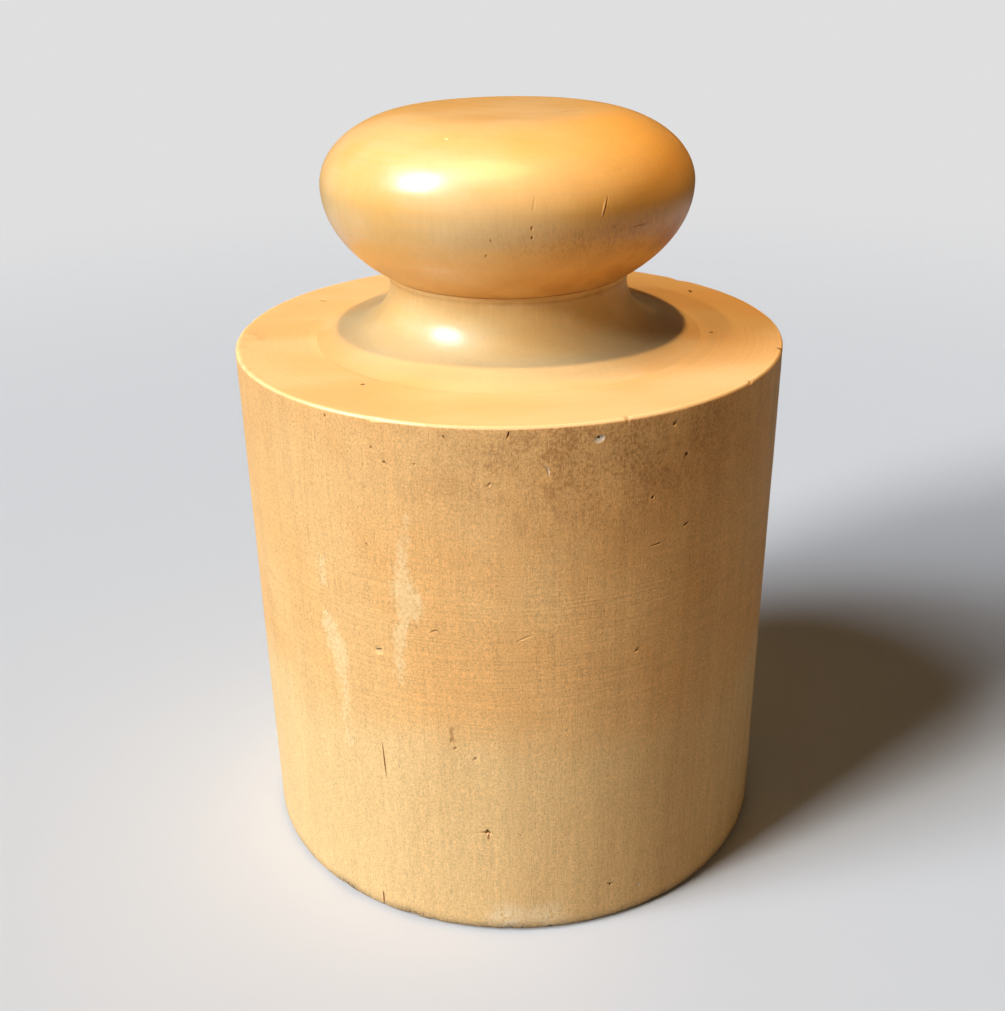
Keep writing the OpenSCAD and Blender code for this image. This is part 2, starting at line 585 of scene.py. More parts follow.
def grain(b, p, pith=(58.0, 95.0), ring_gap=5.5):
    """Long fibres, short flecks, pores and growth rings of the blank, all upright. pith is the middle
    of the rings, in mm."""
    x, y, _ = b.split(p)
    fibre = b.noise(b.stretch(p, (0.75, 0.75, 0.035)), detail=4.0, roughness=0.6)
    fleck = b.noise(b.stretch(p, (2.4, 2.4, 0.25)), detail=2.0, roughness=0.6)
    pore = b.smooth(b.noise(b.stretch(p, (3.6, 3.6, 0.55)), detail=1.0), 0.62, 0.72)
    sway = b.noise(b.stretch(p, (0.02, 0.02, 0.006)), detail=2.0) * 22.0
    reach = ((x - pith[0]) ** 2.0 + (y - pith[1]) ** 2.0) ** 0.5 + sway
    ring = (reach * (2 * math.pi / ring_gap)).sine() * 0.5 + 0.5
    return fibre, fleck, pore, ring ** 3.0


def block_wood():
    material, b, p = wood_start("block_dry_wood")
    x, y, z = b.split(p)
    side_r, seat, high = block_r / MM, seat_r / MM, block_h / MM
    radius = (x * x + y * y) ** 0.5
    fibre, fleck, pore, ring = grain(b, p)
    mottle = b.noise(b.stretch(p, (0.035, 0.035, 0.03)), detail=3.0, roughness=0.6)
    blotch = b.noise(b.stretch(p, (0.13, 0.13, 0.10)), detail=3.0, roughness=0.65)
    speckle = b.noise(b.stretch(p, (1.3, 1.3, 1.0)), detail=2.0, roughness=0.7)
    pepper = b.noise(b.stretch(p, (2.6, 2.6, 2.1)), detail=1.0, roughness=0.5)

    # The top as far as its rounded edge, its flat part only, and the seat within it
    top = b.smooth(z, high - 0.70, high - 0.25)
    flat = top * (1 - b.smooth(radius, side_r - 1.4, side_r - 0.8))
    inside = 1 - b.smooth(radius, seat - 0.4, seat + 0.1)

    # Turning lines run round the side, and round the top in circles
    wobble = b.noise(b.stretch(p, (0.03, 0.03, 0.03)), detail=1.0)
    bent = b.shift(p, b.join(0.0, 0.0, wobble * 1.2))
    round_side = b.noise(b.stretch(bent, (0.07, 0.07, 2.1)), detail=2.0, roughness=0.7)
    round_top = b.noise(b.join(0.0, wobble * 0.5, radius * 1.1), detail=3.0, roughness=0.7)
    turned_zone = b.smooth(z, 52.0, 70.0) * (1 - b.smooth(z, 92.0, 118.0))
    lines = round_side.swing(turned_zone * 0.75 + 0.25)

    # The side is tan where the pastry greased it, and paler towards the base
    level = z + mottle.swing(22.0) + blotch.swing(9.0)
    low = 1 - b.smooth(level, 50.0, 68.0)
    colour = b.blend(low, rgb(0.77, 0.438, 0.152), rgb(0.78, 0.528, 0.226))
    colour = b.blend(b.smooth(mottle, 0.35, 0.70) * 0.5, colour, rgb(0.79, 0.522, 0.218))
    colour = b.blend(ring * 0.08, colour, rgb(0.48, 0.245, 0.075))
    # Grime specks high up on the side, and painted shade that darkens the front right, where the side turns
    # away from the light
    grime_and_shade = attribute(b, "grime_and_shade") * b.smooth(blotch * 0.6 + speckle * 0.4, 0.32, 0.62)
    specked = 0.36 + b.smooth(speckle, 0.40, 0.66) * 0.46
    colour = b.blend(grime_and_shade * specked, colour, rgb(0.36, 0.165, 0.045))
    streaks = b.noise(b.stretch(p, (0.14, 0.14, 0.010)), detail=2.0, roughness=0.6)
    shade = 0.96 + streaks.swing(0.20) + fibre.swing(0.24) + fleck.swing(0.28) + pepper.swing(0.78)
    shade = shade + speckle.swing(0.30) + lines * 0.44 - pore * 0.08
    side = b.shaded(colour, shade)

    # Pale runs where something wet dried, chalky patches and soil at the foot
    ragged = b.noise(b.stretch(p, (0.34, 0.34, 0.24)), detail=4.0, roughness=0.75)
    drip = b.smooth(attribute(b, "drip") + speckle.swing(0.8) + ragged.swing(1.0), 0.32, 0.66)
    crust = 0.16 + b.smooth(speckle, 0.25, 0.75) * 0.56
    side = b.blend(drip * crust, side, rgb(0.82, 0.660, 0.350))
    chalk = attribute(b, "chalk") * b.smooth(ragged * 0.65 + speckle * 0.35, 0.40, 0.50)
    side = b.blend(chalk * (0.5 + speckle * 0.5), side, rgb(0.88, 0.76, 0.49))
    soil = attribute(b, "soil")
    clotted = b.smooth(speckle * 0.7 + ragged * 0.4, 0.50, 0.62)
    side = b.blend(soil * (0.30 + ragged * 0.6), side, rgb(0.30, 0.17, 0.075))
    side = b.blend(soil * clotted * 0.8, side, rgb(0.07, 0.05, 0.035))

    # The top is waxed and warmer
    tone = b.noise(b.stretch(p, (0.022, 0.05, 0.02)), detail=2.0)
    waxed = b.blend(b.smooth(tone, 0.38, 0.66), *TOP_WAX)
    waxed = b.shaded(waxed, 0.94 + round_top.swing(0.34) + fleck.swing(0.10) + speckle.swing(0.16))
    # Red stains on the top, and a painted shadow: a darker ring at the front left of the neck's foot, where
    # the knob shades the top
    red_stain_and_shadow = attribute(b, "stain_and_shadow") * b.smooth(blotch + round_top.swing(0.5), 0.44, 0.60)
    waxed = b.blend(red_stain_and_shadow * 0.45, waxed, rgb(0.56, 0.21, 0.07))
    colour = b.blend(top, side, waxed)

    # Bare cut wood in the seat and the socket
    cut = b.blend(b.smooth(fibre, 0.3, 0.7), rgb(0.68, 0.45, 0.21), rgb(0.76, 0.54, 0.27))
    hollow = inside * (1 - b.smooth(z, high - 0.35, high - 0.1)) * b.smooth(z, 40.0, 60.0)
    colour = b.blend(hollow, colour, cut)

    # The handled top edge is rubbed pale, with a painted highlight where it faces the light at the front
    # left, and marks hold dirt or show fresh wood
    rub_and_highlight = attribute(b, "rub_and_highlight") * b.smooth(blotch, 0.30, 0.55)
    colour = b.blend(rub_and_highlight * 0.8, colour, rgb(0.88, 0.74, 0.50))
    colour = b.blend(attribute(b, "bare") * 0.8, colour, rgb(0.86, 0.620, 0.310))
    colour = b.blend(attribute(b, "flake") * 0.85, colour, rgb(0.72, 0.68, 0.55))
    dirt = attribute(b, "dirt")
    colour = b.blend(b.smooth(dirt, 0.0, 0.6) * 0.8, colour, rgb(0.33, 0.150, 0.045))
    colour = b.blend(b.smooth(dirt, 0.4, 1.0) * 0.95, colour, BLACK_DIRT)

    roughness = 0.66 + fleck.swing(0.16) + blotch.swing(0.12) - flat * (0.26 - round_top.swing(0.2))
    roughness = roughness + dirt * 0.2 - rub_and_highlight * 0.2
    tooled = (pepper * 0.4 + lines * 1.3) * (1 - top) + round_top.swing(top) * 0.5
    height = fibre * 0.35 + fleck * 0.5 - pore * 0.5 + tooled
    wood_finish(b, colour, roughness, height * (1 - top * 0.6), 0.06, coat=flat * 0.18)
    return material


def handle_wood(name, pale, warm, dark, gloss, coat, offset, flecks=0.0):
    """Wood of the handle: turned smooth and polished by hands, browner where they rest and where shade is
    painted, with a painted warm light on one side of the knob.
    """
    material, b, p = wood_start(name)
    p = b.shift(p, offset)
    fibre, fleck, pore, ring = grain(b, p, pith=(35.0, 60.0), ring_gap=7.0)
    mottle = b.noise(b.stretch(p, (0.030, 0.045, 0.05)), detail=2.0)
    streak = b.noise(b.stretch(p, (0.03, 0.03, 0.9)), detail=3.0, roughness=0.65)
    blotch = b.noise(b.stretch(p, (0.11, 0.11, 0.14)), detail=3.0, roughness=0.6)
    colour = b.blend(b.smooth(mottle + streak.swing(0.35), 0.34, 0.66), pale, warm)
    colour = b.blend(ring * 0.05, colour, dark)

    # The foot of the neck gets painted shade, the greyer tone of the knob's shadow, and its rim is waxed with
    # the top of the block
    tone = b.smooth(mottle, 0.38, 0.66)
    colour = b.blend(attribute(b, "foot") * 0.9, colour, b.blend(tone, *FOOT_SHADE_TONE))
    colour = b.blend(attribute(b, "rim"), colour, b.blend(tone, *TOP_WAX))

    # A painted warm light makes one side of the knob amber, handling and painted shade make it brown in the
    # crease, below its widest part and on its shaded right side, and it is flecked below its widest part
    colour = b.blend(attribute(b, "painted_warm_light") * 0.9, colour, rgb(0.93, 0.460, 0.075))
    grip_and_shade = attribute(b, "grip_and_shade") * (0.55 + b.smooth(blotch, 0.35, 0.65) * 0.45)
    colour = b.blend(grip_and_shade * 0.7, colour, dark)
    short = b.noise(b.stretch(p, (1.9, 1.9, 0.55)), detail=2.0, roughness=0.6)
    band = attribute(b, "flecked") * b.smooth(short + blotch.swing(0.5), 0.50, 0.66)
    colour = b.blend(band * flecks, colour, dark)
    shade = 0.93 + fibre.swing(0.14) + streak.swing(0.12) + fleck.swing(0.10) - pore * 0.05
    colour = b.shaded(colour, shade)

    # Marks hold dirt or show fresh wood
    colour = b.blend(attribute(b, "bare") * 0.7, colour, rgb(0.86, 0.66, 0.36))
    dirt = attribute(b, "dirt")
    colour = b.blend(b.smooth(dirt, 0.0, 0.6) * 0.75, colour, dark)
    colour = b.blend(b.smooth(dirt, 0.4, 1.0) * 0.9, colour, rgb(0.060, 0.030, 0.012))

    roughness = gloss + blotch.swing(0.14) + streak.swing(0.10) + dirt * 0.25 + grip_and_shade * 0.10
    height = fibre * 0.3 + streak * 0.6 + fleck * 0.25 - pore * 0.25
    wood_finish(b, colour, roughness, height, 0.03, coat=coat - grip_and_shade * coat, coat_roughness=0.18)
    return material


def cut_wood():
    material, b, p = wood_start("bare_cut_wood")
    fibre, fleck, pore, ring = grain(b, p, pith=(20.0, 42.0), ring_gap=4.0)
    blotch = b.noise(b.stretch(p, (0.16, 0.16, 0.12)), detail=3.0, roughness=0.6)
    colour = b.blend(b.smooth(fibre, 0.3, 0.7), rgb(0.62, 0.42, 0.21), rgb(0.74, 0.54, 0.30))
    colour = b.blend(ring * 0.22, colour, rgb(0.50, 0.29, 0.12))
    colour = b.blend(b.smooth(blotch, 0.45, 0.70) * 0.3, colour, rgb(0.50, 0.31, 0.14))
    colour = b.shaded(colour, 0.90 + fleck.swing(0.4) - pore * 0.2)
    height = fibre * 0.6 + fleck * 0.6 - pore * 0.6
    wood_finish(b, colour, 0.6 + fleck.swing(0.2), height, 0.10)
    return material


# The block

def block_profile():
    base_r, base_round = block_r - base_edge_round, base_edge_round
    top_r, top_round = block_r - top_edge_round, top_edge_round
    lip = 0.05 * MM
    outline = Profile(0.0, 0.0)
    outline.line(base_r, 0.0, 5.0 * MM)
    outline.arc(base_r, base_round, base_round, base_round, -90, 0, 7, 1.0)
    outline.line(block_r, block_h - top_round, 1.5 * MM, 1.0)
    outline.arc(top_r, block_h - top_round, top_round, top_round, 0, 90, 7, 1.0)
    outline.line(seat_r + 1.5 * MM, block_h, 1.6 * MM, 0.5)
    outline.line(seat_r + lip, block_h, 0.6 * MM)
    outline.arc(seat_r + lip, block_h - lip, lip, lip, 90, 180, 2)
    outline.line(seat_r, seat_z, 1.0 * MM)
    outline.line(mouth_r, seat_z, 3.0 * MM)
    outline.thread(socket_r, thread_low_z, seat_z, rising=False)
    outline.add(socket_r, socket_end_z + 0.5 * MM, 0.0)
    outline.line(socket_r - 0.5 * MM, socket_end_z, 1.0 * MM)
    outline.line(0.0, socket_end_z, 6.0 * MM)
    return outline


def block_marks(outline):
    """Marks of the block. Angles are in degrees from the front, and sizes in mm."""

    def side(*sizes, **kind):
        return side_mark(outline, *sizes, **kind)

    pits = [
        side(angle, height, size * 0.5, size * 0.6, depth, dirt=dirt * 0.8, ragged=0.12)
        for angle, height, size, depth, dirt in (
            (-48, 136, 0.55, 0.3, 0.35), (-36, 137, 0.50, 0.3, 0.35), (-45, 133, 0.55, 0.2, 0.25),
            (-26, 132, 0.60, 0.3, 0.40), (-23.5, 129, 0.65, 0.4, 0.45), (-28, 122, 0.60, 0.3, 0.40),
            (-12, 136.5, 0.50, 0.4, 0.5), (-6, 131.5, 0.45, 1.0, 1.0), (-17.5, 129.5, 0.60, 0.2, 0.25),
            (-4, 126, 0.60, 0.2, 0.3), (-28.4, 108, 0.45, 0.3, 0.35), (33.7, 127.5, 0.78, 0.6, 1.25),
            (30.4, 135.5, 0.80, 0.5, 1.1), (26.3, 119, 0.65, 0.5, 1.25), (24, 80, 0.50, 0.4, 0.7),
            (-7.8, 54, 0.50, 0.3, 0.6), (1, 31, 0.50, 0.3, 0.6), (20, 11.5, 0.60, 0.6, 1.0),
            (98, 120, 0.60, 0.5, 0.9), (141, 84, 0.55, 0.5, 0.8), (-117, 127, 0.65, 0.5, 0.8),
            (-152, 58, 0.60, 0.5, 0.8), (176, 104, 0.60, 0.5, 0.9),
        )
    ]
    cracks = [
        side(-27.4, 48.5, 0.15, 5.4, 0.35, tilt=-3.5, dirt=0.75, ragged=0.08),
        side(-28.2, 38.5, 0.16, 3.6, 0.2, tilt=2, dirt=0.35, ragged=0.1),
        side(-29.9, 3.6, 0.18, 2.4, 0.4, dirt=0.8, ragged=0.1),
        side(118, 30, 0.22, 8.0, 0.5, tilt=4, dirt=0.9, ragged=0.1),
        side(-161, 118, 0.20, 6.5, 0.5, tilt=-3, dirt=0.85, ragged=0.1),
        side(-43.4, 106, 0.40, 3.0, 0.10, dirt=0.22, ragged=0.1),
    ]
    nicks = [
        side(-12.4, 61.2, 0.55, 1.5, 0.12, tilt=6, dirt=0.30, ragged=0.4),
        side(-12.2, 58.8, 0.75, 1.4, 0.15, tilt=-12, dirt=0.34, ragged=0.5),
        side(-11.8, 56.4, 0.5, 0.45, 0.15, dirt=0.40, ragged=0.5),
        side(-5.7, 32, 0.75, 0.6, 0.5, tilt=40, dirt=0.62, ragged=0.5),
        side(-6.3, 31.9, 1.3, 0.35, 0.2, tilt=-8, dirt=0.40, ragged=0.5),
        side(-5.5, 30.4, 0.35, 1.2, 0.2, dirt=0.35, ragged=0.5),
        side(34.4, 110, 0.28, 0.9, 0.3, tilt=62, dirt=1.0),
        side(27.5, 107, 0.20, 1.8, 0.2, tilt=86, dirt=0.45),
        side(-15, 88.5, 0.25, 0.7, 0.2, tilt=75, dirt=0.5),
        side(-27, 80.2, 1.3, 1.1, 0.20, bare=0.45),
        side(-27, 80.5, 0.25, 0.9, 0.35, tilt=70, dirt=0.65),
        side(15.3, 135.0, 1.10, 0.85, 0.12, tilt=-20, flake=1.0, ragged=0.10),
        side(15.9, 135.2, 0.65, 0.70, 0.10, tilt=25, flake=0.9, ragged=0.15),
        side(15.3, 135.5, 0.32, 0.30, 0.35, dirt=1.0),
        side(6.2, 128.7, 0.3, 1.2, 0.15, tilt=-10, flake=0.55),
        side(1.5, 87.3, 0.20, 2.6, 0.10, tilt=66, bare=0.15, dirt=0.15),
        side(26.6, 8.2, 0.4, 0.4, 0.15, flake=0.8),
        side(-0.7, 137.2, 0.24, 0.8, 0.3, tilt=14, dirt=0.6),
    ]
    top = block_h
    specks = [
        top_mark(-39.4, 53.6, top, 0.5, 0.6, 0.4, dirt=1.0),
        top_mark(123.4, 62.6, top, 0.45, 1.3, 0.4, turn=60, dirt=1.0),
        top_mark(84.4, 52.2, top, 0.6, 0.7, 0.4, dirt=0.9),
        top_mark(168, 58, top, 0.4, 1.6, 0.3, turn=80, dirt=0.8),
        top_mark(-120, 60, top, 0.5, 0.6, 0.35, dirt=0.8),
    ]
    chips = [
        edge_chip(-25, 2.4, 0.6, 0.25, bare=0.5, ragged=0.1),
        edge_chip(20.6, 0.7, 1.1, 0.16, dirt=0.30, ragged=0.3),
        edge_chip(74, 1.0, 0.9, 0.60, dirt=0.8, ragged=0.2),
        edge_chip(52, 0.8, 0.6, 0.35, dirt=0.3, ragged=0.2),
        edge_chip(133, 2.0, 1.0, 0.50, bare=0.4, dirt=0.15, ragged=0.2),
        edge_chip(-98, 1.2, 0.8, 0.40, dirt=0.3, ragged=0.2),
        edge_chip(-170, 2.2, 1.0, 0.50, bare=0.4, dirt=0.15, ragged=0.2),
    ]
    chips += [
        base_chip(angle, wide, 1.0, depth * 0.7, dirt=0.45, ragged=0.2)
        for angle, wide, depth in (
            (-41, 1.6, 0.8), (-30, 0.7, 0.7), (-23, 2.2, 0.7), (-18, 1.0, 0.8),
            (-2, 1.2, 0.6), (7, 0.9, 0.5), (31, 1.4, 0.6), (63, 2.0, 0.7),
            (105, 1.5, 0.7), (150, 2.4, 0.8), (-75, 1.8, 0.7), (-140, 1.6, 0.7),
        )
    ]
    return pits + cracks + nicks + specks + chips


def bump_of(value, middle, half):
    """1 at the middle, and 0 from half a width away on."""
    return ease(1 - np.abs(value - middle) / half)


def paint_block(piece):
    """Where the block is stained, greasy, chalky, soiled or rubbed, and where shade, a shadow and a highlight
    are painted on it.
    """
    side_r = block_r / MM
    high = block_h / MM
    middle = run_down([
        (-19.8, 116, 1.6, 0.60), (-20.6, 110, 1.8, 0.66), (-21.4, 103, 2.2, 0.75),
        (-21.0, 98.5, 3.0, 0.95), (-20.2, 94, 3.4, 1.0), (-21.4, 89.5, 1.1, 0.75),
        (-22.4, 86, 1.9, 0.9), (-22.6, 80, 1.9, 0.75), (-22.6, 73, 1.6, 0.58),
    ], side_r)
    left_top = run_down([(-39.8, 100, 1.5, 0.7), (-40.2, 94, 1.3, 0.8)], side_r)
    left = run_down([
        (-39.8, 85.5, 1.2, 0.85), (-38.9, 82, 2.4, 0.95), (-37.2, 77, 2.8, 0.95),
        (-36.6, 71, 2.3, 0.74), (-36.5, 60, 2.2, 0.60), (-36.2, 50, 1.8, 0.54),
    ], side_r)
    back = run_down([
        (152, 96, 1.4, 0.7), (151, 86, 2.8, 1.0), (152, 77, 1.4, 0.8), (151, 64, 2.0, 0.65),
    ], side_r)
    runs = (middle, left_top, left, back)
    paint_field(piece, "drip", lambda a, r, z: np.max([run(a, r, z) for run in runs], axis=0))

    def grime_and_shade(angle, radius, height):
        high_up = ease((height - 96.0) / 40.0)
        # painted shade: darker high up at the front right, where the side turns away from the light
        shade_front_right = bump_of(angle, 19, 50) * ease((height - 94.0) / 38.0)
        return np.clip(high_up * (0.26 + 0.25 * bump_of(angle, -150, 90)) + shade_front_right * 0.85, 0, 1)

    def chalk(angle, radius, height):
        foot = bump_of(height, 4.5, 6.5)
        front = np.maximum(bump_of(angle, -2.0, 6.0), bump_of(angle, 6.0, 7.0) * 0.8)
        return foot * np.maximum(front, bump_of(angle, -165, 9.0))

    def soil(angle, radius, height):
        foot = ease(1 - height / 4.5) * (radius > side_r - 3)
        patches = 0.65 + bump_of(angle, -40, 5) + bump_of(angle, -22, 6) + bump_of(angle, 0, 10) * 0.7
        return np.clip(foot * (patches + bump_of(angle, 150, 30)), 0, 1)

    def rub_and_highlight(angle, radius, height):
        # rubbed pale by hands, and a painted highlight that is strongest at the front left
        edge = bump_of(height, high - 0.30, 0.34) * (radius > side_r - 1.3)
        return edge * (0.10 + 0.90 * bump_of(angle, -27, 24))

    def stain_and_shadow(angle, radius, height):
        rim = bump_of(radius, 66, 6) * bump_of(angle, -85, 14)
        # painted shadow of the knob: a darker ring at the front left
        ring = bump_of(radius, 47, 6) * bump_of(angle, -35, 35) * 0.6
        edge = (radius > side_r - 1.1) * bump_of(angle, -68, 24) * 0.8
        return np.max([rim, ring, edge], axis=0) * (height > high - 0.8)

    for field in (grime_and_shade, chalk, soil, rub_and_highlight, stain_and_shadow):
        paint_field(piece, field.__name__, field)


def make_block():
    outline = block_profile()
    piece = turn_piece("block_body", outline, block_wood(), {
        "Segments": 288, "Thread Low": thread_low_z, "Thread High": seat_z,
        "Thread Depth": screw_r + thread_clearance - socket_r, "Mouth Radius": mouth_r,
        "Fade Low": 0.3 * pitch, "Fade High": 0.001 * MM,
        "Wander Depth": 0.35 * MM, "Wander Size": 45.0 * MM,
        "Ripple Depth": 0.10 * MM, "Ripple Pitch": 5.0 * MM,
    })
    carve(piece, block_marks(outline))
    paint_block(piece)
    return piece


# The neck collar

def neck_profile():
    rim_r = seat_r - 0.04 * MM
    feather_r = seat_r + 0.3 * MM
    feather_z = block_h + 0.01 * MM
    cove_h = waist_z - block_h - 0.03 * MM
    edge = 0.3 * MM
    outline = Profile(neck_bore_r, seat_z)
    outline.line(rim_r - edge, seat_z, 3.0 * MM)
    outline.arc(rim_r - edge, seat_z + edge, edge, edge, -90, 0, 3)
    outline.line(rim_r, feather_z, 0.9 * MM)
    outline.line(feather_r, feather_z, 0.4 * MM)
    outline.arc(feather_r, waist_z, feather_r - waist_r, cove_h, -90, -180, 44, 0.6)
    # A fine groove below the crease
    outline.line(waist_r + 0.02 * MM, knob_z - 1.5 * MM, 0.45 * MM, 0.3)
    outline.line(waist_r - 0.06 * MM, knob_z - 1.25 * MM, 0.2 * MM)
    outline.line(waist_r + 0.04 * MM, knob_z - 1.0 * MM, 0.2 * MM)
    outline.line(knob_seat_r - 0.10 * MM, knob_z - 0.06 * MM, 0.3 * MM, 0.3)
    outline.line(knob_seat_r - 0.18 * MM, knob_z, 0.3 * MM)
    outline.line(neck_bore_r + edge, knob_z, 3.0 * MM)
    outline.line(neck_bore_r, knob_z - edge, 1.0 * MM)
    outline.line(neck_bore_r, seat_z, 2.0 * MM)
    return outline


def make_neck():
    outline = neck_profile()
    wood = handle_wood(
        "neck_satin_wood", rgb(0.79, 0.560, 0.232), rgb(0.78, 0.488, 0.170), rgb(0.38, 0.185, 0.052),
        gloss=0.40, coat=0.28, offset=(13.0, 7.0, 0.0),
    )
    piece = turn_piece("neck_ring", outline, wood, {
        "Segments": 192, "Wander Depth": 0.16 * MM, "Wander Size": 26.0 * MM,
        "Ripple Depth": 0.05 * MM, "Ripple Pitch": 2.5 * MM,
    })
    carve(piece, [
        side_mark(outline, -104, 148, 0.35, 1.2, 0.2, tilt=60, dirt=0.4),
        side_mark(outline, 150, 147, 0.4, 1.8, 0.25, tilt=80, dirt=0.5),
    ])
    crease = knob_z / MM
    on_top = block_h / MM - 0.5

    # browner below the crease and in the fine groove, from handling and painted shade where the knob shades
    # the neck
    def grip_and_shade(angle, radius, height):
        held = ease((height - crease + 6.5) / 6.5) * (0.44 + 0.34 * bump_of(angle, 28, 65))
        return np.clip(held + bump_of(height, crease - 1.25, 0.5) * 0.35, 0, 1)

    # painted shade round the foot of the neck, where the knob's shadow falls
    def foot(angle, radius, height):
        return ease((radius - 33.0) / 8.0) * (height > on_top)

    def rim(angle, radius, height):
        return ease((radius - 42.0) / 6.0) * (height > on_top)

    for field in (grip_and_shade, foot, rim):
        paint_field(piece, field.__name__, field)
    return piece


# The knob

def knob_profile():
    lower_turn = math.degrees(math.acos(knob_seat_r / knob_r))
    lower_rz = (knob_wide_z - knob_z) / math.sin(math.radians(lower_turn))
    crown = 0.24 * MM
    crown_rows = 16
    upper_rz = knob_top_z - crown - knob_wide_z
    edge = 0.3 * MM
    outline = Profile(0.0, tenon_z)
    outline.line(knob_bore_r, tenon_z, 5.0 * MM)
    outline.line(knob_bore_r, knob_z + edge, 3.0 * MM)
    outline.line(knob_bore_r + edge, knob_z, 1.0 * MM)
    outline.line(knob_seat_r - 0.18 * MM, knob_z, 3.0 * MM)
    outline.line(knob_seat_r - 0.03 * MM, knob_z + 0.09 * MM, 0.3 * MM)
    outline.arc(0.0, knob_wide_z, knob_r, lower_rz, -lower_turn + 0.7, 0, 44, 1.0)
    outline.arc(knob_flat_r, knob_wide_z, knob_r - knob_flat_r, upper_rz, 0, 88, 40, 1.0)
    edge_r, edge_z = outline.rows[-1][:2]
    for i in range(1, crown_rows + 1):
        r = edge_r * (1 - i / crown_rows)
        outline.add(r, edge_z + (knob_top_z - edge_z) * (1 - (r / edge_r) ** 2), 1.0)
    return outline


def paint_knob(piece):
    """Where the knob is brown from hands and painted shade, amber from a painted warm light, or flecked."""
    under = knob_z / MM
    wide = knob_wide_z / MM

    # browner from handling and painted shade: in the crease, on the underside at the right and on the shaded
    # right side
    def grip_and_shade(angle, radius, height):
        crease = ease(1 - (height - under) / 10.0)
        below = ease((wide - 2 - height) / 12.0) * (0.04 + 0.96 * bump_of(angle, 55, 78))
        right = bump_of(angle, 75, 62) * bump_of(height, wide - 9, 10.0)
        return np.clip(crease * (0.46 + 0.36 * bump_of(angle, 40, 65)) + below * 0.46 + right * 0.8, 0, 1)

    # painted warm light: the upper right of the knob made amber where warm light from above falls
    def painted_warm_light(angle, radius, height):
        return bump_of(angle, 62, 80) * ease((height - under) / 6.0) * ease((radius - 16.0) / 14.0)

    def flecked(angle, radius, height):
        return bump_of(height, wide - 6.0, 7.5) * (0.12 + 0.88 * bump_of(angle, 36, 62))

    for field in (grip_and_shade, painted_warm_light, flecked):
        paint_field(piece, field.__name__, field)


def make_knob():
    outline = knob_profile()
    wood = handle_wood(
        "knob_polished_wood", rgb(0.79, 0.525, 0.215), rgb(0.77, 0.450, 0.130), rgb(0.38, 0.155, 0.030),
        gloss=0.40, coat=0.40, offset=(0.0, 0.0, 31.0), flecks=0.40,
    )
    piece = turn_piece("knob_bun", outline, wood, {
        "Segments": 288, "Wander Depth": 0.35 * MM, "Wander Size": 38.0 * MM,
        "Ripple Depth": 0.06 * MM, "Ripple Pitch": 3.0 * MM,
    })

    def side(*sizes, **kind):
        return side_mark(outline, *sizes, **kind)

    carve(piece, [
        side(27.3, 178.6, 0.22, 2.3, 0.18, tilt=18, dirt=0.55, ragged=0.1),
        side(26.7, 178.5, 0.25, 2.0, -0.10, tilt=18, bare=0.3, ragged=0.1),
        side(6.7, 180.2, 0.35, 1.8, 0.06, tilt=14, dirt=0.16, ragged=0.1),
        side(6.1, 175.2, 0.25, 0.55, 0.2, dirt=0.55),
        side(6.2, 173.1, 0.30, 0.4, 0.2, dirt=0.6),
        side(-6.6, 168.9, 0.28, 0.4, 0.2, dirt=0.5),
        side(-5.0, 172.6, 0.22, 0.45, 0.15, dirt=0.45),
        side(-23.5, 191.8, 0.5, 0.5, 0.15, bare=0.8),
        side(78, 188.0, 0.4, 2.4, 0.15, tilt=35, dirt=0.32),
        side(82, 184.0, 0.4, 2.0, 0.12, tilt=28, dirt=0.28),
        side(40, 173.3, 0.25, 2.6, 0.08, tilt=88, dirt=0.30, ragged=0.1),
        side(128, 180, 0.3, 2.6, 0.2, tilt=-25, dirt=0.5, ragged=0.1),
        side(-140, 176, 0.5, 0.8, 0.3, dirt=0.8),
        top_mark(63, 17, knob_top_z, 0.9, 5.0, 0.12, turn=70, dirt=0.25, ragged=0.2),
        top_mark(-150, 9, knob_top_z, 0.4, 1.1, 0.2, turn=20, dirt=0.6),
    ])
    paint_knob(piece)
    return piece


# The wooden screw

def make_screw():
    shoulder_edge = 0.3 * MM
    outline = Profile(0.0, screw_end_z)
    outline.line(core_r - end_chamfer, screw_end_z, 3.0 * MM)
    outline.line(core_r, screw_end_z + end_chamfer, 0.6 * MM)
    outline.thread(core_r, thread_low_z, shoulder_z, rising=True)
    outline.add(core_r - shoulder_edge, shoulder_z, 0.0)
    outline.line(shank_r, shoulder_z, 1.0 * MM)
    outline.line(shank_r, tenon_z - end_chamfer, 2.5 * MM)
    outline.line(shank_r - end_chamfer, tenon_z, 0.6 * MM)
    outline.line(0.0, tenon_z, 4.0 * MM)
    return turn_piece("wooden_screw", outline, cut_wood(), {
        "Segments": 128, "Thread Low": thread_low_z, "Thread High": shoulder_z - shoulder_edge,
        "Thread Depth": thread_depth, "Fade Low": 0.5 * pitch, "Fade High": 0.5 * pitch,
    })


# Stage: a plain pale floor that fades out, soft far lamps and the camera

FLOOR_RADIUS = 1.6
FLOOR_DROP = 0.05 * MM
FLOOR_FADE = (0.30, 0.95)

WINDOW = (0.90, 1.03, 1.28)
WINDOW_SHINE = (0.92, 1.0, 1.16)
OVERHEAD = (1.0, 0.62, 0.28)

